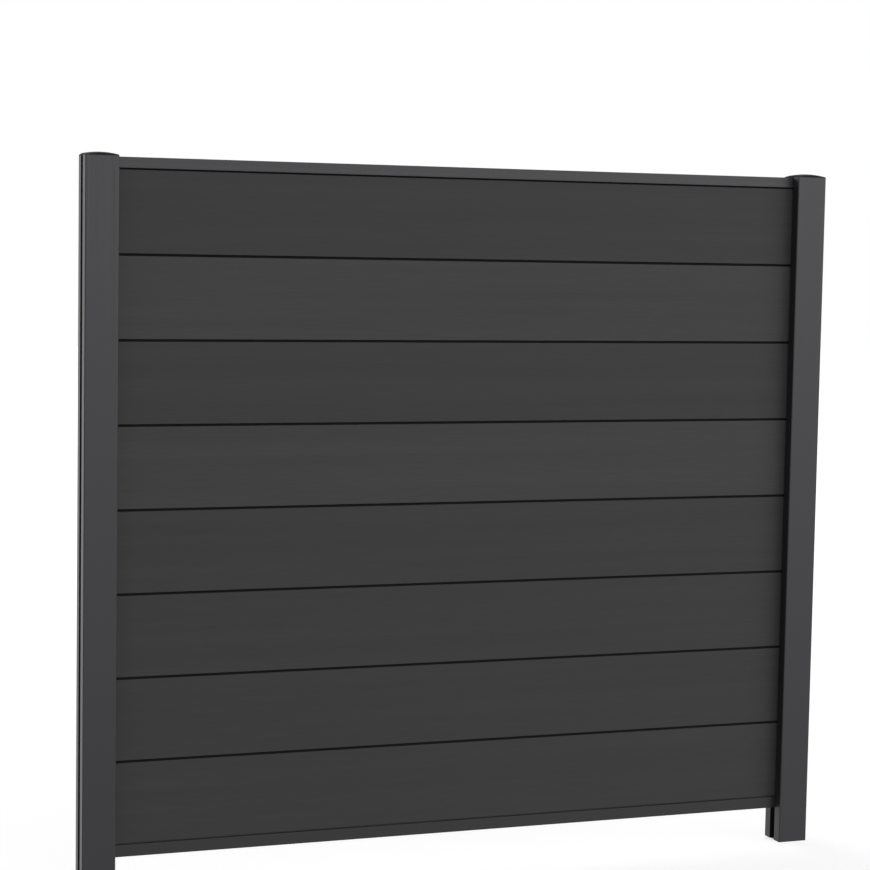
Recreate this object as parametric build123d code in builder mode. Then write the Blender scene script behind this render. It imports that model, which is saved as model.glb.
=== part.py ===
from build123d import *
import os

# Composite fence panel: hollow boards stacked between two slotted aluminium posts.
# The origin is on the ground, midway between the posts and in their centre plane.
# +X runs along the fence, the front looks along -Y and +Z is up.

# Panel layout
board_count = 8
board_pitch = 200.0
clear_width = 1770.0  # between the facing sides of the posts
end_play = 7.0  # from a board or rail end to the floor of its slot
ground_gap = 87.0  # under the bottom rail
shadow_gap = 6.0  # open joint between two board faces

# Board section
board_thickness = 20.0
board_wall = 4.5
board_rib = 4.5  # between two chambers
chamber_count = 5
chamber_corner = 2.0
board_edge_radius = 0.8
tongue_thickness = 6.0
tongue_grip = 10.0  # length of a tongue inside the groove above it
tongue_tip_chamfer = 1.2
tongue_clearance = 0.3  # on each side of a tongue in its groove

# Rails
rail_wall = 1.8
rail_edge_radius = 1.0
rail_clearance = 0.5  # on each side of a rail in its slot
top_rail_height = 25.5
top_rail_gap = 4.0  # open joint between the top board and the top rail
bottom_rail_height = 29.0
seat_height = 3.5  # raised strip on the bottom rail that carries the lowest board
seat_setback = 4.5  # behind each face of the board
locating_rib_wall = 1.6
locating_rib_clearance = 0.5  # over the ribs, because the board rests on the seat

# Posts
post_size = 80.0
post_corner_radius = 3.0
post_wall = 2.2
post_web = 2.5  # between a slot and the middle chamber
slot_depth = 22.0
slot_wall = 1.5  # between a seal groove and a lip chamber
port_diameter = 5.0  # screw ports that take a base plate
port_wall = 2.0
port_inset = 3.5  # from the inside of the middle chamber to a port's centre

# Seal strips
seal_gap = 2.0  # on each side of a board in its slot
seal_inset = 4.0  # from the slot's mouth to the strip's centre
seal_stem_width = 3.0
seal_stem_depth = 2.0
seal_bead_width = 5.0
seal_bead_chamfer = 0.9
seal_clearance = 0.1

# Post caps
cap_rise = 9.0  # from the post's end to the crown
cap_corner_height = 0.8
cap_skin = 5.0  # under the crown, over the pocket inside the plug
cap_seat_gap = 1.0  # between the top rail and the cap over its end
plug_depth = 18.0
plug_wall = 2.0
plug_clearance = 0.3
plug_lead_in = 1.2
crush_rib_width = 2.0
crush_rib_spacing = 24.0
crush_rib_length = 12.0

# Rail brackets and their screws
bracket_thickness = 3.0
bracket_clearance = 3.0  # on each side of a bracket in its slot
bracket_bearing = 9.0  # length of rail end that lies on a bracket
bracket_bend_radius = 2.0
bracket_corner = 3.0
screw_diameter = 4.2
screw_length = 13.0  # under the head
screw_head_diameter = 8.0
screw_head_height = 2.6
screw_recess_width = 1.0
screw_recess_length = 4.4
screw_recess_depth = 1.4
screw_top = 15.0  # from the bracket's top face to the upper screw
screw_spacing = 16.0
screw_edge = 9.0  # from the lower screw to the bracket's lower end
screw_clearance = 0.15  # round a screw in the bracket

# Sizes that follow from the ones above
board_face = board_pitch - shadow_gap
board_length = clear_width + 2 * (slot_depth - end_play)
tongue_height = shadow_gap + tongue_grip
groove_width = tongue_thickness + 2 * tongue_clearance
slot_width = board_thickness + 2 * seal_gap
rail_thickness = slot_width - 2 * rail_clearance
bottom_rail_top = ground_gap + bottom_rail_height
lowest_board_z = bottom_rail_top + seat_height
top_board_top = lowest_board_z + (board_count - 1) * board_pitch + board_face
top_rail_z = top_board_top + top_rail_gap
top_rail_top = top_rail_z + top_rail_height
post_height = top_rail_top + cap_seat_gap
post_x = (clear_width + post_size) / 2
middle_half_x = post_size / 2 - slot_depth - post_web
middle_half_y = post_size / 2 - post_wall
port_x = middle_half_x - port_inset
port_y = middle_half_y - port_inset
port_boss = port_inset + port_diameter / 2 + port_wall
boss_x = middle_half_x - port_boss / 2
boss_y = middle_half_y - port_boss / 2
slot_floor_x = clear_width / 2 + slot_depth
seal_x = clear_width / 2 + seal_inset
screw_heights = (ground_gap - screw_top, ground_gap - screw_top - screw_spacing)

on_lower_edge = (Align.CENTER, Align.MIN)
sides = (("left", -1), ("right", 1))
slot_walls = (("front", -1), ("rear", 1))

os.makedirs("parts", exist_ok=True)


def across_fence(x, z):
    """A plane square to the fence at x, with its own x along +Y and its own y up from z."""
    return Plane(origin=(x, 0, z), x_dir=(0, 1, 0), z_dir=(1, 0, 0))


# Boards: a hollow section with a tongue on top and a groove below
chamber_floor = tongue_grip + board_wall
chamber_pitch = (board_face - board_wall + board_rib - chamber_floor) / chamber_count
chamber_middle = (chamber_floor + board_face - board_wall) / 2
with BuildSketch() as chamber:
    Rectangle(board_thickness - 2 * board_wall, chamber_pitch - board_rib)
    chamfer(chamber.vertices(), chamber_corner)
for number in range(board_count):
    board_z = lowest_board_z + number * board_pitch
    with BuildPart() as board:
        with BuildSketch(across_fence(-board_length / 2, board_z)) as section:
            Rectangle(board_thickness, board_face, align=on_lower_edge)
            fillet(section.vertices(), board_edge_radius)
            with Locations((0, board_face)):
                Rectangle(tongue_thickness, tongue_height, align=on_lower_edge)
            chamfer(section.vertices().group_by(Axis.Y)[-1], tongue_tip_chamfer)
            Rectangle(groove_width, tongue_grip, align=on_lower_edge, mode=Mode.SUBTRACT)
            with Locations((0, chamber_middle)):
                with GridLocations(0, chamber_pitch, 1, chamber_count):
                    add(chamber.sketch, mode=Mode.SUBTRACT)
        extrude(amount=board_length)
    board.part.label = f"board_{number + 1}"
    export_step(board.part, f"parts/board_{number + 1}.step")

# Top rail: a hollow bar with a groove that sits on the top board's tongue
top_groove_depth = tongue_height - top_rail_gap
with BuildPart() as top_rail:
    with BuildSketch(across_fence(-board_length / 2, top_rail_z)) as section:
        Rectangle(rail_thickness, top_rail_height, align=on_lower_edge)
        fillet(section.vertices(), rail_edge_radius)
        with Locations((0, rail_wall)):
            Rectangle(
                rail_thickness - 2 * rail_wall,
                top_rail_height - 2 * rail_wall,
                align=on_lower_edge,
                mode=Mode.SUBTRACT,
            )
        Rectangle(
            groove_width + 2 * rail_wall, top_groove_depth + rail_wall, align=on_lower_edge
        )
        Rectangle(groove_width, top_groove_depth, align=on_lower_edge, mode=Mode.SUBTRACT)
    extrude(amount=board_length)
top_rail.part.label = "top_rail"
export_step(top_rail.part, "parts/top_rail.step")

# Bottom rail: a hollow bar with a raised seat and two ribs inside the lowest groove
seat_width = board_thickness - 2 * seat_setback
locating_rib_height = tongue_grip - locating_rib_clearance
with BuildPart() as bottom_rail:
    with BuildSketch(across_fence(-board_length / 2, ground_gap)) as section:
        Rectangle(rail_thickness, bottom_rail_height, align=on_lower_edge)
        fillet(section.vertices(), rail_edge_radius)
        with Locations((0, bottom_rail_height)):
            Rectangle(seat_width, seat_height, align=on_lower_edge)
        with Locations((0, bottom_rail_height + seat_height)):
            Rectangle(tongue_thickness, locating_rib_height, align=on_lower_edge)
            Rectangle(
                tongue_thickness - 2 * locating_rib_wall,
                locating_rib_height,
                align=on_lower_edge,
                mode=Mode.SUBTRACT,
            )
        with Locations((0, rail_wall)):
            Rectangle(
                rail_thickness - 2 * rail_wall,
                bottom_rail_height - 2 * rail_wall,
                align=on_lower_edge,
                mode=Mode.SUBTRACT,
            )
    extrude(amount=board_length)
bottom_rail.part.label = "bottom_rail"
export_step(bottom_rail.part, "parts/bottom_rail.step")

# Posts: a five-chamber extrusion with a slot on each side along the fence
lip_inner_x = middle_half_x + post_web
lip_outer = post_size / 2 - post_wall
lip_inner_y = slot_width / 2 + seal_stem_depth + slot_wall
for side, sign in sides:
    with BuildPart() as post:
        with BuildSketch(Plane.XY) as section:
            with Locations((sign * post_x, 0)):
                RectangleRounded(post_size, post_size, post_corner_radius)
                # The two slots and the grooves that hold a seal strip in each slot wall
                with GridLocations(post_size - slot_depth, 0, 2, 1):
                    Rectangle(slot_depth, slot_width, mode=Mode.SUBTRACT)
                with GridLocations(post_size - 2 * seal_inset, 0, 2, 1):
                    Rectangle(
                        seal_stem_width, slot_width + 2 * seal_stem_depth, mode=Mode.SUBTRACT
                    )
                # The middle chamber with its screw ports, and a chamber in each lip
                Rectangle(2 * middle_half_x, 2 * middle_half_y, mode=Mode.SUBTRACT)
                with GridLocations(lip_inner_x + lip_outer, lip_inner_y + lip_outer, 2, 2):
                    Rectangle(
                        lip_outer - lip_inner_x, lip_outer - lip_inner_y, mode=Mode.SUBTRACT
                    )
                with GridLocations(2 * boss_x, 2 * boss_y, 2, 2):
                    Rectangle(port_boss, port_boss)
                with GridLocations(2 * port_x, 2 * port_y, 2, 2):
                    Circle(port_diameter / 2, mode=Mode.SUBTRACT)
        extrude(amount=post_height)
        # Screw holes for the rail bracket, through the web of the inner slot
        with BuildSketch(across_fence(sign * (slot_floor_x + post_web / 2), 0)):
            with Locations(*[(0, height) for height in screw_heights]):
                Circle(screw_diameter / 2)
        extrude(amount=post_web / 2, both=True, mode=Mode.SUBTRACT)
    post.part.label = f"{side}_post"
    export_step(post.part, f"parts/{side}_post.step")

# Seal strips: a stem in the slot wall's groove and a tapered bead against the boards
seal_z = bottom_rail_top + seal_clearance
seal_length = top_rail_z - seal_clearance - seal_z
bead_height = seal_gap - seal_clearance
stem_height = seal_stem_depth - seal_clearance
for side, sign in sides:
    for face, facing in slot_walls:
        bead_y = facing * (slot_width - bead_height) / 2
        stem_y = facing * (slot_width + stem_height) / 2
        with BuildPart() as seal:
            with BuildSketch(Plane.XY.offset(seal_z)) as section:
                with Locations((sign * seal_x, bead_y)):
                    Rectangle(seal_bead_width, bead_height)
                chamfer(section.vertices().sort_by(lambda v: abs(v.Y))[:2], seal_bead_chamfer)
                with Locations((sign * seal_x, stem_y)):
                    Rectangle(seal_stem_width - 2 * seal_clearance, stem_height)
            extrude(amount=seal_length)
        seal.part.label = f"{side}_{face}_seal"
        export_step(seal.part, f"parts/{side}_{face}_seal.step")

# Post caps: a lid under one shallow dome, with a plug in the post's middle chamber
dome_drop = cap_rise - cap_corner_height
dome_radius = (post_size**2 / 2 + dome_drop**2) / (2 * dome_drop)
plug_x = 2 * (middle_half_x - plug_clearance)
plug_y = 2 * (middle_half_y - port_boss - plug_clearance)
for side, sign in sides:
    with BuildPart() as cap:
        with BuildSketch(Plane.XY.offset(post_height)):
            with Locations((sign * post_x, 0)):
                RectangleRounded(post_size, post_size, post_corner_radius)
        # The blank is taller than the crown, so that the dome cuts only its sides
        extrude(amount=2 * cap_rise)
        with Locations((sign * post_x, 0, post_height + cap_rise - dome_radius)):
            Sphere(dome_radius, rotation=(0, 90, 0), mode=Mode.INTERSECT)
        with BuildSketch(Plane.XY.offset(post_height)):
            with Locations((sign * post_x, 0)):
                Rectangle(plug_x, plug_y)
        extrude(amount=-plug_depth)
        chamfer(cap.faces().sort_by(Axis.Z)[0].edges(), plug_lead_in)
        with BuildSketch(Plane.XY.offset(post_height)):
            with Locations((sign * post_x, 0)):
                with GridLocations(0, crush_rib_spacing, 1, 2):
                    Rectangle(2 * middle_half_x, crush_rib_width)
        extrude(amount=-crush_rib_length)
        with BuildSketch(Plane.XY.offset(post_height - plug_depth)):
            with Locations((sign * post_x, 0)):
                Rectangle(plug_x - 2 * plug_wall, plug_y - 2 * plug_wall)
        extrude(amount=plug_depth + cap_rise - cap_skin, mode=Mode.SUBTRACT)
    cap.part.label = f"{side}_post_cap"
    export_step(cap.part, f"parts/{side}_post_cap.step")

# Rail brackets: bent angles on the floor of the inner slots, under the bottom rail
bend_outer_radius = bracket_bend_radius + bracket_thickness
bracket_width = slot_width - 2 * bracket_clearance
bracket_reach = end_play + bracket_bearing
bracket_low_z = screw_heights[-1] - screw_edge
bracket_under_z = ground_gap - bracket_thickness
for side, sign in sides:
    floor_x = sign * slot_floor_x
    front_x = sign * (slot_floor_x - bracket_thickness)
    tip_x = sign * (slot_floor_x - bracket_reach)
    with BuildPart() as bracket:
        with BuildSketch(Plane.XZ) as section:
            with BuildLine():
                Polyline(
                    (floor_x, bracket_low_z),
                    (floor_x, ground_gap),
                    (tip_x, ground_gap),
                    (tip_x, bracket_under_z),
                    (front_x, bracket_under_z),
                    (front_x, bracket_low_z),
                    close=True,
                )
            make_face()
            corners = section.vertices()
            fillet(corners.sort_by_distance((floor_x, ground_gap))[0], bend_outer_radius)
            corners = section.vertices()
            fillet(corners.sort_by_distance((front_x, bracket_under_z))[0], bracket_bend_radius)
        extrude(amount=bracket_width / 2, both=True)
        chamfer(bracket.edges().filter_by(Axis.X).group_by(Axis.Z)[0], bracket_corner)
        with BuildSketch(across_fence((floor_x + front_x) / 2, 0)):
            with Locations(*[(0, height) for height in screw_heights]):
                Circle(screw_diameter / 2 + screw_clearance)
        extrude(amount=bracket_thickness / 2, both=True, mode=Mode.SUBTRACT)
    bracket.part.label = f"{side}_rail_bracket"
    export_step(bracket.part, f"parts/{side}_rail_bracket.step")

# Bracket screws: cheese heads on the brackets, with their ends in the middle chambers
with BuildPart() as bracket_screws:
    for side, sign in sides:
        seat_x = sign * (slot_floor_x - bracket_thickness)
        crown_x = seat_x - sign * screw_head_height
        for height in screw_heights:
            along_screw = Plane(
                origin=(seat_x, 0, height), x_dir=(sign, 0, 0), z_dir=(0, -sign, 0)
            )
            with BuildSketch(along_screw):
                with BuildLine():
                    Polyline(
                        (-screw_head_height, 0),
                        (screw_length, 0),
                        (screw_length, screw_diameter / 2),
                        (0, screw_diameter / 2),
                        (0, screw_head_diameter / 2),
                        (-screw_head_height, screw_head_diameter / 2),
                        close=True,
                    )
                make_face()
            revolve(axis=Axis((seat_x, 0, height), (1, 0, 0)))
            with BuildSketch(across_fence(crown_x, height)):
                Rectangle(screw_recess_length, screw_recess_width)
                Rectangle(screw_recess_width, screw_recess_length)
            extrude(amount=sign * screw_recess_depth, mode=Mode.SUBTRACT)
bracket_screws.part.label = "bracket_screws"
export_step(bracket_screws.part, "parts/bracket_screws.step")
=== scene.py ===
from math import ceil, cos, radians, sin

import bmesh
import bpy
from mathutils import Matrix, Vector


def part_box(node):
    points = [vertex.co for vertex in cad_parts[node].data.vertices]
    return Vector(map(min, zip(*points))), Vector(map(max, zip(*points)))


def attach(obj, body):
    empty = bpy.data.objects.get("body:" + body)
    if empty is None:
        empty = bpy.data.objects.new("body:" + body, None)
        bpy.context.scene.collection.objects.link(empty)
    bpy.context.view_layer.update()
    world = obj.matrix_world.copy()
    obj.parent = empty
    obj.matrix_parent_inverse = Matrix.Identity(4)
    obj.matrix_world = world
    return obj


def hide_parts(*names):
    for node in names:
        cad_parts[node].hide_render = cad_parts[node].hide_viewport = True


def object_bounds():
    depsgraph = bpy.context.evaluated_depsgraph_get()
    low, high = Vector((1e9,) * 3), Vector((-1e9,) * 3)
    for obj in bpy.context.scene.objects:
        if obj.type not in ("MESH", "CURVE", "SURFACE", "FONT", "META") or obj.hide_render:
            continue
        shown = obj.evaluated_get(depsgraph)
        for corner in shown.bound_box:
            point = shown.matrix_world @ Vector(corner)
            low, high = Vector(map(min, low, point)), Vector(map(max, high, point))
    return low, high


# Looks of a composite fence panel: dark hollow boards between two powder-coated posts.
# Everything is in metres, in the frame of the solids: +X along the fence, front along -Y.
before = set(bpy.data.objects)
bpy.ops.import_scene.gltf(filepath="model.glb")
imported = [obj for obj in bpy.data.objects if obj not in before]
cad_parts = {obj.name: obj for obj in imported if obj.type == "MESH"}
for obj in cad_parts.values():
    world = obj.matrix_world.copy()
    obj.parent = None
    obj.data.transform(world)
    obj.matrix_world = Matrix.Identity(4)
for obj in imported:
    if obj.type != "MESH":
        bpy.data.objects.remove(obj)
cad_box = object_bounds()

bl_info = {
    "name": "Composite Fence Panel",
    "version": (1, 0, 0),
    "blender": (4, 5, 0),
    "location": "View3D > Sidebar > Fence",
    "description": "Finishes and photographs one bay of a composite privacy fence",
    "category": "Object",
}

MM = 0.001
BODY = "root"

# Names of like nodes, and the axis along which a profile was extruded
SIDES = ("left", "right")
BOARDS = sorted(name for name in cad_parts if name.startswith("board_"))
PALE_BOARDS = ("board_5", "board_7")
SEALS = sorted(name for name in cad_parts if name.endswith("_seal"))
ALONG_RAIL = 0
ALONG_POST = 2

# Fineness of the meshes
TOUCHING = 0.001 * MM
SMOOTH_ANGLE = radians(30)
DOME_CELLS = 20
SPHERE_SEGMENTS = 128
SPHERE_RINGS = 512
CORNER_STEPS = 6
RIM_STEPS = 5
HEAD_SIDES = 48
THREAD_STEPS = 24

# Materials: height of a relief beside the width of its grain, and weight of a board's fibres
# beside its mottle
RELIEF = 1 / 8
FIBRE_WEIGHT = 1.5

# Soft lamps: name, bearing and height in degrees, size in metres, power in watts
LAMPS = (
    ("right_softbox", 50, 13, (18.0, 6.0), 1570),
    ("front_softbox", 6, 11, (6.0, 5.0), 620),
    ("left_softbox", -56, 8, (6.0, 5.0), 80),
    ("rear_softbox", 200, 25, (12.0, 6.0), 1700),
)

# Floor: shares of open sky at which its glow, dimmed as painted shade in narrow gaps, starts and is
# full, and the distance at which it is white, in half lengths of the fence
SLOT_SKY = (0.34, 0.46)
SKY_SAMPLES = 8
GLOW_SPREAD = 6
WHITE = (1, 1, 1, 1)

# Camera: width of the sensor in millimetres
SENSOR_WIDTH = 36.0


def linear(hex_colour):
    """Linear red, green, blue and alpha of an sRGB colour such as 4B4B4D."""
    shares = [int(hex_colour[i : i + 2], 16) / 255 for i in (0, 2, 4)]
    return [s / 12.92 if s <= 0.04045 else ((s + 0.055) / 1.055) ** 2.4 for s in shares] + [1.0]


def colour(name, description, hex_colour):
    """A colour that a user can change, with its default as an sRGB hex value."""
    return bpy.props.FloatVectorProperty(
        name=name,
        description=description,
        subtype="COLOR",
        size=4,
        min=0.0,
        max=1.0,
        default=linear(hex_colour),
    )


def length(name, description, default):
    """A length that a user can change, in metres."""
    return bpy.props.FloatProperty(
        name=name, description=description, unit="LENGTH", precision=4, min=0.0, default=default
    )


class FenceFinish(bpy.types.PropertyGroup):
    """Colours and pattern sizes of the fence's surfaces"""

    coat_colour: colour("Powder coat", "Posts and top rail", "2A292D")
    # Painted shade: the bottom rail's darker colour stands in for the weaker light low on the fence,
    # not a darker batch of powder.
    sill_painted_shade_colour: colour("Bottom rail", "Bottom rail, from a darker batch of powder", "1A1A1A")
    coat_grain: length("Coat grain", "Width of a bump in the powder coat", 1.6 * MM)
    coat_cloud: length("Coat cloud", "Width of a patch of thicker or thinner coat", 250 * MM)
    draw_line: length("Draw lines", "Spacing of the extrusion's lines under the coat", 5 * MM)
    draw_length: length("Draw length", "Length of an extrusion line under the coat", 1000 * MM)
    board_colour: colour("Board", "Most of the boards", "3A3A3A")
    pale_board_colour: colour("Pale board", "The boards of a slightly paler batch", "424242")
    # Painted shade: this near-black colour of the tongues and grooves darkens the open joints
    # between boards.
    joint_shade_colour: colour("Board skin", "Unbrushed skin of the tongues and grooves", "0E0E0E")
    fibre_width: length("Fibre width", "Width of a streak of wood fibre in a board", 5 * MM)
    fibre_length: length("Fibre length", "Length of a streak of wood fibre in a board", 90 * MM)
    mottle_share: bpy.props.FloatProperty(
        name="Mottle", description="Fineness of the boards' mottle beside their fibres", default=0.15
    )
    brush_width: length("Brush width", "Width of a line left by brushing a board", 1.4 * MM)
    brush_length: length("Brush length", "Length of a line left by brushing a board", 84 * MM)
    # Painted shade: from this depth under the face the boards turn near-black, to darken the open
    # joints.
    joint_shade_depth: length("Skin depth", "Below the board's face, where the dark skin begins", 1 * MM)
    brush_depth: length("Brush depth", "Below the board's face, where the brushing ends", 0.3 * MM)
    cap_colour: colour("Cap", "Moulded post caps", "2A2A2C")
    cap_grain: length("Cap grain", "Width of a pit in the moulded texture", 1.0 * MM)
    seal_colour: colour("Seal", "Rubber strips in the post slots", "161617")
    seal_line: length("Seal lines", "Spacing of the lines along a rubber strip", 1.1 * MM)
    seal_length: length("Seal length", "Length of a line along a rubber strip", 220 * MM)
    bracket_colour: colour("Bracket", "Anodised angles under the bottom rail", "3A3A3C")
    bracket_grain: length("Bracket grain", "Width of a pit in the anodised surface", 0.5 * MM)
    screw_colour: colour("Screw", "Plated bracket screws", "6A6A6C")
    screw_grain: length("Screw grain", "Width of a spangle in the plating", 0.3 * MM)


class FenceCap(bpy.types.PropertyGroup):
    """Sizes of the moulded post caps"""

    dome_radius: length("Dome radius", "Radius of the cap's shallow crown", 199.2 * MM)
    corner_radius: length("Corner radius", "Rounding of the upright corners, as on the post", 3 * MM)
    rim_radius: length("Rim radius", "Rounding of the rim under the crown", 0.6 * MM)
    plug_width: length("Plug width", "Plug's size along the fence", 30.4 * MM)
    plug_depth: length("Plug depth", "Plug's size across the fence", 59 * MM)
    plug_wall: length("Plug wall", "Wall round the plug's pocket", 2 * MM)
    plug_lead_in: length("Lead-in", "Chamfer round the plug's lower end", 1.2 * MM)
    pocket_height: length("Pocket height", "Depth of the pocket in the plug", 22 * MM)
    rib_span: length("Rib span", "Size across a pair of crush ribs", 31 * MM)
    rib_width: length("Rib width", "Width of a crush rib", 2 * MM)
    rib_length: length("Rib length", "Length of a crush rib under the lid", 12 * MM)
    rib_lead_in: length("Rib lead-in", "Chamfer on the lower end of a rib", 0.25 * MM)
    rib_spacing: length("Rib spacing", "Between the two ribs of a side", 24 * MM)


class FenceScrew(bpy.types.PropertyGroup):
    """Sizes of the thread-forming bracket screws"""

    shank_length: length("Shank length", "Length under the head", 13 * MM)
    thread_diameter: length("Thread diameter", "Across the thread's crests", 4.2 * MM)
    core_diameter: length("Core diameter", "Across the core under the thread", 3.1 * MM)
    thread_pitch: length("Thread pitch", "From one turn of the thread to the next", 1.4 * MM)
    thread_root: length("Thread root", "Width of the bare core between two turns", 0.4 * MM)
    head_height: length("Head height", "Height of the cheese head", 2.6 * MM)
    head_edge: length("Head edge", "Chamfer round the head's outer end", 0.5 * MM)
    recess_length: length("Recess length", "Length of an arm pair of the cross recess", 4.4 * MM)
    recess_width: length("Recess width", "Width of an arm of the cross recess", 1.0 * MM)
    recess_depth: length("Recess depth", "Depth of the cross recess", 1.4 * MM)


class FenceStage(bpy.types.PropertyGroup):
    """Camera, lamps and floor"""

    camera_place: bpy.props.FloatVectorProperty(
        name="Camera place",
        description="Where the camera stands",
        subtype="TRANSLATION",
        unit="LENGTH",
        default=(-1.97509, -5.19332, 1.52794),
    )
    camera_turn: bpy.props.FloatVectorProperty(
        name="Camera turn",
        description="How the camera is turned",
        subtype="EULER",
        default=(radians(85.4195), radians(-0.9882), radians(-19.919)),
    )
    lens: bpy.props.FloatProperty(
        name="Lens", description="Focal length in millimetres", default=92.976
    )
    fill: bpy.props.FloatProperty(
        name="Fill", description="Light of the white room on matt surfaces", default=0.07
    )
    floor_colour: colour("Floor", "Pale studio floor", "909090")
    floor_size: length("Floor size", "Side of the square floor", 60.0)
    floor_glow: bpy.props.FloatProperty(
        name="Floor glow", description="Lifts the floor near the fence towards white", default=0.85
    )
    floor_shade: length("Floor shade", "Reach of the shade in a narrow gap on the floor", 0.1)
    lamp_distance: length("Lamp distance", "From the middle of the fence to each lamp", 20.0)


def add_node(tree, kind, settings, inputs):
    """Adds a node. An input that is given a socket is linked to it, any other is set."""
    node = tree.nodes.new("ShaderNode" + kind)
    for name, value in settings.items():
        setattr(node, name, value)
    for name, value in inputs.items():
        if isinstance(value, bpy.types.NodeSocket):
            tree.links.new(value, node.inputs[name])
        else:
            node.inputs[name].default_value = value
    return node


def new_material(name):
    """An empty material with its tree, its principled shader and the object's coordinates."""
    material = bpy.data.materials.new(name)
    material.use_nodes = True
    tree = material.node_tree
    shader = tree.nodes["Principled BSDF"]
    place = add_node(tree, "TexCoord", {}, {}).outputs["Object"]
    return material, tree, shader, place


def dress(names, material):
    """Gives CAD nodes one material."""
    for name in names:
        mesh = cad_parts[name].data
        mesh.materials.clear()
        mesh.materials.append(material)


def add_block(low, high):
    """A box between two corners, as the start of a shaped piece."""
    bpy.ops.object.select_all(action="DESELECT")
    bpy.ops.mesh.primitive_cube_add(size=1, location=(low + high) / 2, scale=high - low)
    bpy.ops.object.transform_apply()
    return bpy.context.object


def select_edges(piece, test):
    """Selects, in edit mode, the edges that pass a test and nothing else."""
    bpy.ops.mesh.select_mode(type="EDGE")
    bpy.ops.mesh.select_all(action="DESELECT")
    mesh = bmesh.from_edit_mesh(piece.data)
    for edge in mesh.edges:
        if test(edge):
            edge.select_set(True)
    bmesh.update_edit_mesh(piece.data)


def face_outwards():
    """Closes and turns all faces of the mesh in edit mode."""
    bpy.ops.mesh.select_all(action="SELECT")
    bpy.ops.mesh.remove_doubles(threshold=TOUCHING)
    bpy.ops.mesh.normals_make_consistent(inside=False)


def close_piece(piece, name):
    """Closes and names a finished mesh, and shades it smooth except at its edges."""
    bpy.ops.object.mode_set(mode="EDIT")
    face_outwards()
    bpy.ops.object.mode_set(mode="OBJECT")
    bpy.ops.object.shade_smooth_by_angle(angle=SMOOTH_ANGLE)
    piece.name = piece.data.name = name


def chamfer_lower_end(block, size):
    """Takes the edges off a block's lower end."""
    lowest = min(vertex.co.z for vertex in block.data.vertices)
    bpy.ops.object.mode_set(mode="EDIT")
    select_edges(block, lambda edge: all(v.co.z < lowest + size / 10 for v in edge.verts))
    bpy.ops.mesh.bevel(offset=size, segments=1, affect="EDGES")
    bpy.ops.object.mode_set(mode="OBJECT")


def combine(piece, tool, operation):
    """Joins a tool body to a piece or cuts it out, and uses the tool up."""
    step = piece.modifiers.new("combine", "BOOLEAN")
    step.operation = operation
    step.solver = "EXACT"
    step.object = tool
    bpy.context.view_layer.objects.active = piece
    bpy.ops.object.modifier_apply(modifier=step.name)
    bpy.data.objects.remove(tool)


def powder_coat(finish, name, base_colour, along):
    """Polyester powder coat on extruded aluminium.

    It is baked to a satin skin with a fine orange peel, so it has no sharp reflection, and the
    extrusion's draw lines show faintly along the profile. Settled dust dulls the faces that look
    up. The grain is drawn about four times too coarse, because the real one is finer than the
    render.
    """
    material, tree, shader, place = new_material(name)
    grain = add_node(
        tree, "TexNoise", {}, {"Vector": place, "Scale": 1 / finish.coat_grain, "Detail": 2.0}
    )
    stretch = Vector((1, 1, 1)) / finish.draw_line
    stretch[along] = 1 / finish.draw_length
    drawn = add_node(tree, "Mapping", {}, {"Vector": place, "Scale": stretch})
    lines = add_node(tree, "TexNoise", {}, {"Vector": drawn.outputs[0], "Scale": 1.0})
    drift = add_node(
        tree, "TexNoise", {}, {"Vector": place, "Scale": 1 / finish.coat_cloud, "Detail": 3.0}
    )
    tone = add_node(
        tree, "MapRange", {}, {"Value": drift.outputs[0], "To Min": 0.94, "To Max": 1.06}
    )
    tinted = add_node(
        tree, "HueSaturation", {}, {"Color": base_colour, "Value": tone.outputs[0]}
    )
    gloss = add_node(
        tree, "MapRange", {}, {"Value": lines.outputs[0], "To Min": 0.36, "To Max": 0.52}
    )
    facing = add_node(tree, "NewGeometry", {}, {})
    upward = add_node(tree, "SeparateXYZ", {}, {"Vector": facing.outputs["Normal"]})
    dusted = add_node(
        tree,
        "MapRange",
        {},
        {
            "Value": upward.outputs["Z"],
            "From Min": 0.7,
            "From Max": 0.95,
            "To Min": gloss.outputs[0],
            "To Max": 1.0,
        },
    )
    peel = add_node(
        tree,
        "Bump",
        {},
        {"Height": grain.outputs[0], "Strength": 0.12, "Distance": RELIEF * finish.coat_grain},
    )
    tree.links.new(tinted.outputs[0], shader.inputs["Base Color"])
    tree.links.new(dusted.outputs[0], shader.inputs["Roughness"])
    tree.links.new(peel.outputs[0], shader.inputs["Normal"])
    shader.inputs["Specular IOR Level"].default_value = 0.4
    return material


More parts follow.
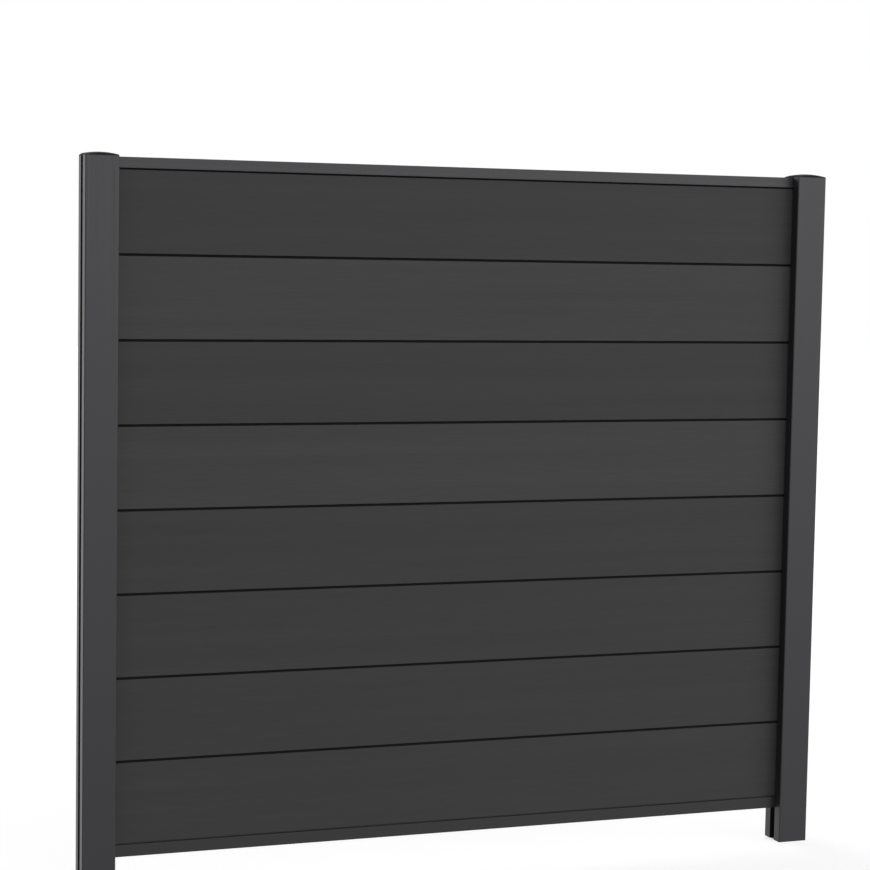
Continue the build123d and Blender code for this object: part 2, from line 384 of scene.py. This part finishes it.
def composite(finish, name, base_colour):
    """Wood-plastic composite, extruded and brushed.

    Wood flour in dark plastic gives a matt face with faint streaks along the board, and the
    brushing leaves fine lines that catch a little light. Below the face, the unbrushed tongues and
    grooves are coloured near-black as painted shade, so the joints look deep.
    """
    material, tree, shader, place = new_material(name)
    fibre_scale = (1 / finish.fibre_length, 1 / finish.fibre_width, 1 / finish.fibre_width)
    fibre_place = add_node(tree, "Mapping", {}, {"Vector": place, "Scale": fibre_scale})
    fibres = add_node(
        tree,
        "TexNoise",
        {},
        {"Vector": fibre_place.outputs[0], "Scale": 1.0, "Detail": 4.0, "Roughness": 0.6},
    )
    mottle_scale = (1 / (2 * finish.fibre_length), *fibre_scale[1:])
    mottle_place = add_node(tree, "Mapping", {}, {"Vector": place, "Scale": mottle_scale})
    mottle = add_node(
        tree,
        "TexNoise",
        {},
        {"Vector": mottle_place.outputs[0], "Scale": finish.mottle_share, "Detail": 3.0},
    )
    mixed = add_node(
        tree,
        "Math",
        {"operation": "MULTIPLY_ADD"},
        {0: fibres.outputs[0], 1: FIBRE_WEIGHT, 2: mottle.outputs[0]},
    )
    tone = add_node(
        tree,
        "MapRange",
        {},
        {
            "Value": mixed.outputs[0],
            "From Min": 0.85,
            "From Max": 1.65,
            "To Min": 0.83,
            "To Max": 1.17,
        },
    )
    tinted = add_node(
        tree, "HueSaturation", {}, {"Color": base_colour, "Value": tone.outputs[0]}
    )
    across = add_node(tree, "SeparateXYZ", {}, {"Vector": place})
    depth = add_node(tree, "Math", {"operation": "ABSOLUTE"}, {0: across.outputs["Y"]})
    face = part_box(BOARDS[0])[1].y
    brushed = add_node(
        tree,
        "MapRange",
        {},
        {
            "Value": depth.outputs[0],
            "From Min": face - finish.joint_shade_depth,
            "From Max": face - finish.brush_depth,
        },
    )
    # Painted shade: deeper than the brushed face, the colour turns to the near-black joint shade
    # colour.
    faced = add_node(
        tree,
        "MixRGB",
        {},
        {"Fac": brushed.outputs[0], "Color1": finish.joint_shade_colour, "Color2": tinted.outputs[0]},
    )
    brush_scale = (1 / finish.brush_length, 1 / finish.brush_width, 1 / finish.brush_width)
    brush_place = add_node(tree, "Mapping", {}, {"Vector": place, "Scale": brush_scale})
    brushing = add_node(
        tree, "TexNoise", {}, {"Vector": brush_place.outputs[0], "Scale": 1.0, "Detail": 3.0}
    )
    relief = add_node(
        tree,
        "Bump",
        {},
        {"Height": brushing.outputs[0], "Strength": 0.15, "Distance": RELIEF * finish.brush_width},
    )
    gloss = add_node(
        tree, "MapRange", {}, {"Value": fibres.outputs[0], "To Min": 0.7, "To Max": 0.8}
    )
    dulled = add_node(
        tree,
        "MapRange",
        {},
        {"Value": brushed.outputs[0], "To Min": 1.0, "To Max": gloss.outputs[0]},
    )
    tree.links.new(faced.outputs[0], shader.inputs["Base Color"])
    tree.links.new(dulled.outputs[0], shader.inputs["Roughness"])
    tree.links.new(relief.outputs[0], shader.inputs["Normal"])
    shader.inputs["Specular IOR Level"].default_value = 0.4
    return material


def moulded_plastic(finish):
    """Black-grey polyamide, moulded in a spark-eroded tool: satin, with an even fine pitting."""
    material, tree, shader, place = new_material("moulded_polyamide")
    pits = add_node(
        tree, "TexNoise", {}, {"Vector": place, "Scale": 1 / finish.cap_grain, "Detail": 1.0}
    )
    tone = add_node(
        tree, "MapRange", {}, {"Value": pits.outputs[0], "To Min": 0.9, "To Max": 1.1}
    )
    tinted = add_node(
        tree, "HueSaturation", {}, {"Color": finish.cap_colour, "Value": tone.outputs[0]}
    )
    relief = add_node(
        tree,
        "Bump",
        {},
        {"Height": pits.outputs[0], "Strength": 0.2, "Distance": RELIEF * finish.cap_grain},
    )
    tree.links.new(tinted.outputs[0], shader.inputs["Base Color"])
    tree.links.new(relief.outputs[0], shader.inputs["Normal"])
    shader.inputs["Roughness"].default_value = 0.75
    shader.inputs["Specular IOR Level"].default_value = 0.12
    return material


def seal_rubber(finish):
    """Extruded EPDM rubber: dull black, with fine lines along the strip and a grey bloom on them."""
    material, tree, shader, place = new_material("extruded_epdm_rubber")
    drawn_scale = (1 / finish.seal_line, 1 / finish.seal_line, 1 / finish.seal_length)
    drawn = add_node(tree, "Mapping", {}, {"Vector": place, "Scale": drawn_scale})
    lines = add_node(tree, "TexNoise", {}, {"Vector": drawn.outputs[0], "Scale": 1.0})
    tone = add_node(
        tree, "MapRange", {}, {"Value": lines.outputs[0], "To Min": 0.7, "To Max": 1.3}
    )
    tinted = add_node(
        tree, "HueSaturation", {}, {"Color": finish.seal_colour, "Value": tone.outputs[0]}
    )
    gloss = add_node(
        tree, "MapRange", {}, {"Value": lines.outputs[0], "To Min": 0.6, "To Max": 0.75}
    )
    relief = add_node(
        tree,
        "Bump",
        {},
        {"Height": lines.outputs[0], "Strength": 0.2, "Distance": RELIEF * finish.seal_line},
    )
    tree.links.new(tinted.outputs[0], shader.inputs["Base Color"])
    tree.links.new(gloss.outputs[0], shader.inputs["Roughness"])
    tree.links.new(relief.outputs[0], shader.inputs["Normal"])
    return material


def dark_metal(name, base_colour, grain, roughness):
    """Etched and anodised, or zinc plated: a fine grain breaks up the metal's reflections."""
    material, tree, shader, place = new_material(name)
    noise = add_node(tree, "TexNoise", {}, {"Vector": place, "Scale": 1 / grain, "Detail": 2.0})
    tone = add_node(
        tree, "MapRange", {}, {"Value": noise.outputs[0], "To Min": 0.85, "To Max": 1.15}
    )
    tinted = add_node(
        tree, "HueSaturation", {}, {"Color": base_colour, "Value": tone.outputs[0]}
    )
    gloss = add_node(
        tree,
        "MapRange",
        {},
        {"Value": noise.outputs[0], "To Min": roughness - 0.06, "To Max": roughness + 0.06},
    )
    relief = add_node(
        tree,
        "Bump",
        {},
        {"Height": noise.outputs[0], "Strength": 0.1, "Distance": RELIEF * grain},
    )
    tree.links.new(tinted.outputs[0], shader.inputs["Base Color"])
    tree.links.new(gloss.outputs[0], shader.inputs["Roughness"])
    tree.links.new(relief.outputs[0], shader.inputs["Normal"])
    shader.inputs["Metallic"].default_value = 1.0
    return material


class FENCE_OT_posts(bpy.types.Operator):
    """Powder coats the two posts"""

    bl_idname = "fence.posts"
    bl_label = "Posts"

    def execute(self, context):
        finish = context.scene.fence_finish
        coat = powder_coat(finish, "powder_coat_on_posts", finish.coat_colour, ALONG_POST)
        dress([f"{side}_post" for side in SIDES], coat)
        return {"FINISHED"}


class FENCE_OT_rails(bpy.types.Operator):
    """Powder coats the top and bottom rail"""

    bl_idname = "fence.rails"
    bl_label = "Rails"

    def execute(self, context):
        finish = context.scene.fence_finish
        # The bottom rail takes the darker colour as painted shade of the low light near the ground.
        coats = (("top_rail", finish.coat_colour), ("bottom_rail", finish.sill_painted_shade_colour))
        for rail, base_colour in coats:
            dress([rail], powder_coat(finish, f"powder_coat_on_{rail}", base_colour, ALONG_RAIL))
        return {"FINISHED"}


class FENCE_OT_boards(bpy.types.Operator):
    """Gives the boards their brushed composite, with two of them from a paler batch"""

    bl_idname = "fence.boards"
    bl_label = "Boards"

    def execute(self, context):
        finish = context.scene.fence_finish
        dress(BOARDS, composite(finish, "brushed_composite", finish.board_colour))
        pale = composite(finish, "brushed_composite_pale", finish.pale_board_colour)
        dress(PALE_BOARDS, pale)
        return {"FINISHED"}


class FENCE_OT_caps(bpy.types.Operator):
    """Models the moulded post caps: a domed lid with a rounded rim, over a ribbed plug"""

    bl_idname = "fence.caps"
    bl_label = "Post caps"

    def execute(self, context):
        sizes = context.scene.fence_cap
        plastic = moulded_plastic(context.scene.fence_finish)
        for side in SIDES:
            node = f"{side}_post_cap"
            low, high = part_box(node)
            middle = (low + high) / 2
            middle.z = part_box(f"{side}_post")[1].z
            cap = self.add_lid(sizes, middle, high)
            self.add_plug(sizes, cap, middle, low)
            close_piece(cap, f"{side}_domed_cap")
            cap.data.materials.append(plastic)
            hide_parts(node)
            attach(cap, BODY)
        return {"FINISHED"}

    def add_lid(self, sizes, middle, high):
        """A grid dropped on the dome's sphere, with its border drawn down to the post's end."""
        reach = high.x - middle.x
        bpy.ops.object.select_all(action="DESELECT")
        bpy.ops.mesh.primitive_uv_sphere_add(
            segments=SPHERE_SEGMENTS,
            ring_count=SPHERE_RINGS,
            radius=sizes.dome_radius,
            location=(middle.x, middle.y, high.z - sizes.dome_radius),
        )
        former = bpy.context.object
        bpy.ops.mesh.primitive_grid_add(
            x_subdivisions=DOME_CELLS,
            y_subdivisions=DOME_CELLS,
            size=2 * reach,
            location=(middle.x, middle.y, high.z + MM),
        )
        lid = bpy.context.object
        bpy.ops.object.transform_apply()
        drop = lid.modifiers.new("dome", "SHRINKWRAP")
        drop.target = former
        drop.wrap_method = "PROJECT"
        drop.use_project_z = True
        drop.use_positive_direction = False
        drop.use_negative_direction = True
        bpy.ops.object.modifier_apply(modifier=drop.name)
        bpy.data.objects.remove(former)
        bpy.ops.object.mode_set(mode="EDIT")
        bpy.ops.mesh.select_all(action="SELECT")
        bpy.ops.mesh.region_to_loop()
        bpy.ops.mesh.extrude_edges_move()
        bpy.ops.transform.resize(value=(1, 1, 0), center_override=middle)
        bpy.ops.mesh.edge_face_add()
        face_outwards()

        def upright_corner(edge):
            out = [v.co - middle for v in edge.verts]
            return all(min(abs(p.x), abs(p.y)) > reach - MM for p in out)

        def rim(edge):
            """Between an upright face and the dome, and not round the lid's underside."""
            upright, flat = sorted(abs(face.normal.z) for face in edge.link_faces)
            return upright < 0.1 and flat > 0.5 and edge.verts[0].co.z > middle.z + 0.1 * MM

        select_edges(lid, upright_corner)
        bpy.ops.mesh.bevel(offset=sizes.corner_radius, segments=CORNER_STEPS, affect="EDGES")
        select_edges(lid, rim)
        bpy.ops.mesh.bevel(offset=sizes.rim_radius, segments=RIM_STEPS, affect="EDGES")
        bpy.ops.object.mode_set(mode="OBJECT")
        return lid

    def add_plug(self, sizes, cap, middle, low):
        """A hollow plug with a chamfered end and a pair of crush ribs on each long side."""
        overlap = Vector((0, 0, MM))
        reach = Vector((sizes.plug_width, sizes.plug_depth, 0)) / 2
        drop = Vector((0, 0, middle.z - low.z))
        plug = add_block(middle - reach - drop, middle + reach + overlap)
        chamfer_lower_end(plug, sizes.plug_lead_in)
        combine(cap, plug, "UNION")
        rib_reach = Vector((sizes.rib_span, sizes.rib_width, 0)) / 2
        rib_drop = Vector((0, 0, sizes.rib_length))
        for sign in (-1, 1):
            root = middle + Vector((0, sign * sizes.rib_spacing / 2, 0))
            rib = add_block(root - rib_reach - rib_drop, root + rib_reach + overlap)
            chamfer_lower_end(rib, sizes.rib_lead_in)
            combine(cap, rib, "UNION")
        wall = Vector((sizes.plug_wall, sizes.plug_wall, 0))
        roof = Vector((0, 0, sizes.pocket_height)) - drop
        pocket = add_block(middle - reach + wall - drop - overlap, middle + reach - wall + roof)
        combine(cap, pocket, "DIFFERENCE")


class FENCE_OT_screws(bpy.types.Operator):
    """Models the bracket screws: a cheese head with a cross recess, on a rolled thread"""

    bl_idname = "fence.screws"
    bl_label = "Bracket screws"

    def execute(self, context):
        sizes = context.scene.fence_screw
        low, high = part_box("bracket_screws")
        head_radius = high.y
        seat = high.x - sizes.shank_length
        heights = (low.z + head_radius, high.z - head_radius)
        screw = self.add_head(sizes, head_radius)
        combine(screw, self.add_shank(context, sizes), "UNION")
        bpy.ops.object.select_all(action="DESELECT")
        for sign in (-1, 1):
            for height in heights:
                self.place_copy(context, screw, sign, (sign * seat, 0, height))
        bpy.data.objects.remove(screw)
        bpy.ops.object.transform_apply()
        bpy.ops.object.join()
        screws = context.object
        close_piece(screws, "threaded_bracket_screws")
        finish = context.scene.fence_finish
        plated = dark_metal(
            "zinc_plated_steel", finish.screw_colour, finish.screw_grain, roughness=0.35
        )
        screws.data.materials.append(plated)
        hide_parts("bracket_screws")
        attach(screws, BODY)
        return {"FINISHED"}

    def add_head(self, sizes, radius):
        """A cheese head under the origin, with a cross recess in its outer end."""
        bpy.ops.object.select_all(action="DESELECT")
        bpy.ops.mesh.primitive_cylinder_add(
            vertices=HEAD_SIDES,
            radius=radius,
            depth=sizes.head_height,
            location=(0, 0, -sizes.head_height / 2),
        )
        head = bpy.context.object
        bpy.ops.object.transform_apply()
        chamfer_lower_end(head, sizes.head_edge)
        outside = Vector((0, 0, -sizes.head_height - MM))
        floor = Vector((0, 0, sizes.recess_depth - sizes.head_height))
        arm = Vector((sizes.recess_length, sizes.recess_width, 0)) / 2
        for reach in (arm, arm.yxz):
            combine(head, add_block(outside - reach, floor + reach), "DIFFERENCE")
        return head

    def add_shank(self, context, sizes):
        """One turn of the thread's outline, wound up the core and cut square at both ends."""
        core = sizes.core_diameter / 2
        thread_height = sizes.thread_diameter / 2 - core
        flank = (sizes.thread_pitch - sizes.thread_root) / 2
        in_head = sizes.head_height / 4
        bpy.ops.object.select_all(action="DESELECT")
        bpy.ops.mesh.primitive_plane_add(
            size=MM, location=(core, 0, -in_head - sizes.thread_pitch)
        )
        shank = context.object
        bpy.ops.object.transform_apply()
        bpy.ops.object.mode_set(mode="EDIT")
        bpy.ops.mesh.select_mode(type="VERT")
        bpy.ops.mesh.merge(type="CENTER")
        outline = (
            (0, 0, sizes.thread_root),
            (thread_height, 0, flank),
            (-thread_height, 0, flank),
        )
        for step in outline:
            bpy.ops.mesh.extrude_vertices_move(TRANSFORM_OT_translate={"value": step})
        bpy.ops.object.mode_set(mode="OBJECT")
        wind = shank.modifiers.new("wind", "SCREW")
        wind.axis = "Z"
        wind.screw_offset = sizes.thread_pitch
        wind.iterations = ceil((sizes.shank_length + in_head) / sizes.thread_pitch) + 2
        wind.steps = wind.render_steps = THREAD_STEPS
        bpy.ops.object.modifier_apply(modifier=wind.name)
        bpy.ops.object.mode_set(mode="EDIT")
        face_outwards()
        for height, out in ((-in_head, -1), (sizes.shank_length, 1)):
            bpy.ops.mesh.select_all(action="SELECT")
            bpy.ops.mesh.bisect(
                plane_co=(0, 0, height),
                plane_no=(0, 0, out),
                use_fill=True,
                clear_outer=True,
                threshold=TOUCHING,
            )
        face_outwards()
        bpy.ops.object.mode_set(mode="OBJECT")
        return shank

    def place_copy(self, context, screw, sign, seat):
        """A copy with its own mesh, turned from upright to point out of the bay."""
        copy = screw.copy()
        copy.data = screw.data.copy()
        context.collection.objects.link(copy)
        copy.rotation_euler = (0, sign * radians(90), 0)
        copy.location = seat
        copy.select_set(True)
        context.view_layer.objects.active = copy


class FENCE_OT_fittings(bpy.types.Operator):
    """Finishes the seal strips and the rail brackets"""

    bl_idname = "fence.fittings"
    bl_label = "Fittings"

    def execute(self, context):
        finish = context.scene.fence_finish
        dress(SEALS, seal_rubber(finish))
        anodised = dark_metal(
            "anodised_aluminium", finish.bracket_colour, finish.bracket_grain, roughness=0.45
        )
        dress([f"{side}_rail_bracket" for side in SIDES], anodised)
        return {"FINISHED"}


class FENCE_OT_stage(bpy.types.Operator):
    """Sets up the white room, the floor, the soft lamps and the camera"""

    bl_idname = "fence.stage"
    bl_label = "Stage"

    def execute(self, context):
        stage = context.scene.fence_stage
        context.scene.view_settings.view_transform = "Standard"
        self.add_world(context.scene, stage)
        self.add_floor(stage)
        for lamp in LAMPS:
            self.add_lamp(stage, *lamp)
        self.add_camera(context.scene, stage)
        return {"FINISHED"}

    def add_world(self, scene, stage):
        """A white room: strength 1 where it is seen, and a weaker fill on matt surfaces."""
        scene.world = bpy.data.worlds.new("white_room")
        scene.world.use_nodes = True
        tree = scene.world.node_tree
        seen = self.seen(tree)
        strength = add_node(
            tree, "MapRange", {}, {"Value": seen, "To Min": stage.fill, "To Max": 1.0}
        )
        tree.links.new(strength.outputs[0], tree.nodes["Background"].inputs["Strength"])
        tree.nodes["Background"].inputs["Color"].default_value = WHITE

    def seen(self, tree):
        """1 on rays that show the background: from the camera, a reflection or through glass."""
        path = add_node(tree, "LightPath", {}, {})
        either = add_node(
            tree,
            "Math",
            {"operation": "MAXIMUM"},
            {0: path.outputs["Is Camera Ray"], 1: path.outputs["Is Glossy Ray"]},
        )
        every = add_node(
            tree,
            "Math",
            {"operation": "MAXIMUM"},
            {0: either.outputs[0], 1: path.outputs["Is Transmission Ray"]},
        )
        return every.outputs[0]

    def add_floor(self, stage):
        """A pale matt floor: white where it is seen, with a faint shadow, and painted shade in
        narrow slots.
        """
        bpy.ops.object.select_all(action="DESELECT")
        bpy.ops.mesh.primitive_plane_add(size=stage.floor_size)
        floor = bpy.context.object
        floor.name = "studio_floor"
        material, tree, shader, place = new_material("matt_floor_paint")
        shader.inputs["Base Color"].default_value = stage.floor_colour
        shader.inputs["Roughness"].default_value = 0.9
        shader.inputs["Emission Color"].default_value = WHITE
        away = add_node(tree, "VectorMath", {"operation": "LENGTH"}, {0: place})
        white = add_node(
            tree,
            "MapRange",
            {},
            {
                "Value": away.outputs["Value"],
                "From Min": cad_box[1].x,
                "From Max": GLOW_SPREAD * cad_box[1].x,
                "To Min": stage.floor_glow,
                "To Max": 1.0,
            },
        )
        # Painted shade: the glow dims where a narrow gap hides most of the sky, so the floor inside
        # the post slots looks dark.
        sky = add_node(
            tree, "AmbientOcclusion", {"samples": SKY_SAMPLES}, {"Distance": stage.floor_shade}
        )
        lift = add_node(
            tree,
            "MapRange",
            {},
            {
                "Value": sky.outputs["AO"],
                "From Min": SLOT_SKY[0],
                "From Max": SLOT_SKY[1],
                "To Max": white.outputs[0],
            },
        )
        glow = add_node(
            tree, "Math", {"operation": "MULTIPLY"}, {0: self.seen(tree), 1: lift.outputs[0]}
        )
        tree.links.new(glow.outputs[0], shader.inputs["Emission Strength"])
        floor.data.materials.append(material)

    def add_lamp(self, stage, name, azimuth, elevation, size, power):
        """A far soft lamp that points at the middle of the fence, by its bearing in degrees."""
        turn, tilt = radians(azimuth), radians(elevation)
        heading = Vector((sin(turn) * cos(tilt), -cos(turn) * cos(tilt), sin(tilt)))
        middle = (cad_box[0] + cad_box[1]) / 2
        bpy.ops.object.light_add(type="AREA", location=middle + stage.lamp_distance * heading)
        lamp = bpy.context.object
        lamp.name = name
        lamp.data.shape = "RECTANGLE"
        lamp.data.size, lamp.data.size_y = size
        lamp.data.energy = power
        lamp.rotation_euler = (-heading).to_track_quat("-Z", "Y").to_euler()

    def add_camera(self, scene, stage):
        """The camera of the photograph."""
        bpy.ops.object.camera_add(location=stage.camera_place, rotation=stage.camera_turn)
        scene.camera = bpy.context.object
        scene.camera.data.lens = stage.lens
        scene.camera.data.sensor_width = SENSOR_WIDTH


class FENCE_PT_sidebar(bpy.types.Panel):
    """Lists the steps that finish the fence"""

    bl_idname = "FENCE_PT_sidebar"
    bl_label = "Composite fence panel"
    bl_space_type = "VIEW_3D"
    bl_region_type = "UI"
    bl_category = "Fence"

    def draw(self, context):
        for operator in OPERATORS:
            self.layout.operator(operator.bl_idname)
        scene = context.scene
        for group in (scene.fence_finish, scene.fence_cap, scene.fence_screw, scene.fence_stage):
            for name in group.bl_rna.properties.keys():
                if name not in ("rna_type", "name"):
                    self.layout.prop(group, name)


OPERATORS = (
    FENCE_OT_posts,
    FENCE_OT_rails,
    FENCE_OT_boards,
    FENCE_OT_caps,
    FENCE_OT_screws,
    FENCE_OT_fittings,
    FENCE_OT_stage,
)
CLASSES = (FenceFinish, FenceCap, FenceScrew, FenceStage, *OPERATORS, FENCE_PT_sidebar)


def register():
    for cls in CLASSES:
        bpy.utils.register_class(cls)
    bpy.types.Scene.fence_finish = bpy.props.PointerProperty(type=FenceFinish)
    bpy.types.Scene.fence_cap = bpy.props.PointerProperty(type=FenceCap)
    bpy.types.Scene.fence_screw = bpy.props.PointerProperty(type=FenceScrew)
    bpy.types.Scene.fence_stage = bpy.props.PointerProperty(type=FenceStage)


def unregister():
    del bpy.types.Scene.fence_finish
    del bpy.types.Scene.fence_cap
    del bpy.types.Scene.fence_screw
    del bpy.types.Scene.fence_stage
    for cls in reversed(CLASSES):
        bpy.utils.unregister_class(cls)


def main():
    """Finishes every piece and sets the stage."""
    register()
    bpy.ops.fence.posts()
    bpy.ops.fence.rails()
    bpy.ops.fence.boards()
    bpy.ops.fence.caps()
    bpy.ops.fence.screws()
    bpy.ops.fence.fittings()
    bpy.ops.fence.stage()


if __name__ == "__main__":
    main()
